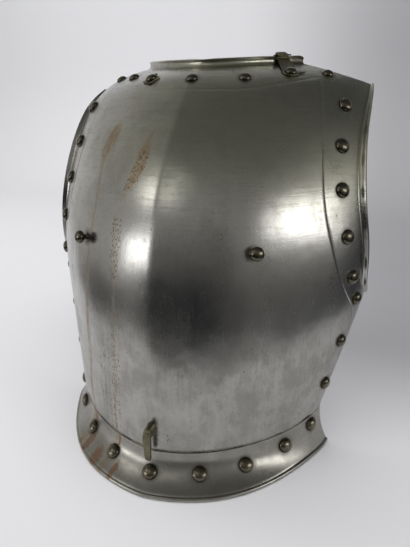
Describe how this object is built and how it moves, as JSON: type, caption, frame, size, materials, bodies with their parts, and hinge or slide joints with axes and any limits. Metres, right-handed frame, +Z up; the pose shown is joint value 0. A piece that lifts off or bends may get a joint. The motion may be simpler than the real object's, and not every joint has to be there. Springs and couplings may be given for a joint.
{
  "type": "cuirass breastplate",
  "caption": "Breastplate of a cavalry cuirass: ridged steel plate with turned neck and arm edges, flared waist flange, domed brass rivets, strap studs and waist hook.",
  "frame": {"origin": "centre of the bounding box, on the floor that the rim of the waist flange stands on", "axes": "+Z up, the front of the plate faces -Y, the wearer's left side is +X"},
  "size_m": [0.3584, 0.2514, 0.4031],
  "materials": {
    "polished_steel": "polished steel gone grey, with brushing, pits and thin rust streaks",
    "aged_brass": "aged brown brass, rubbed bright on the crowns",
    "iron_wire": "dark iron wire"
  },
  "bodies": {
    "root": {"breastplate": "polished_steel", "clip_pin": "iron_wire", "collar_clip": "aged_brass", "lug_plate": "aged_brass", "rivet_arm_1_left": "aged_brass", "rivet_arm_1_right": "aged_brass", "rivet_arm_2_left": "aged_brass", "rivet_arm_2_right": "aged_brass", "rivet_arm_3_left": "aged_brass", "rivet_arm_3_right": "aged_brass", "rivet_arm_4_left": "aged_brass", "rivet_arm_4_right": "aged_brass", "rivet_arm_5_left": "aged_brass", "rivet_arm_5_right": "aged_brass", "rivet_flange_1_left": "aged_brass", "rivet_flange_1_right": "aged_brass", "rivet_flange_2_left": "aged_brass", "rivet_flange_2_right": "aged_brass", "rivet_flange_3_left": "aged_brass", "rivet_flange_3_right": "aged_brass", "rivet_flange_4_left": "aged_brass", "rivet_flange_4_right": "aged_brass", "rivet_flange_centre": "aged_brass", "rivet_neck_1_left": "aged_brass", "rivet_neck_1_right": "aged_brass", "rivet_neck_2_left": "aged_brass", "rivet_neck_2_right": "aged_brass", "rivet_neck_centre": "aged_brass", "rivet_shoulder_left": "aged_brass", "rivet_shoulder_right": "aged_brass", "rivet_side_1_left": "aged_brass", "rivet_side_1_right": "aged_brass", "rivet_side_2_left": "aged_brass", "rivet_side_2_right": "aged_brass", "rivet_side_3_left": "aged_brass", "rivet_side_3_right": "aged_brass", "strap_stud_left": "aged_brass", "strap_stud_right": "aged_brass", "waist_hook": "aged_brass"}
  },
  "joints": []
}
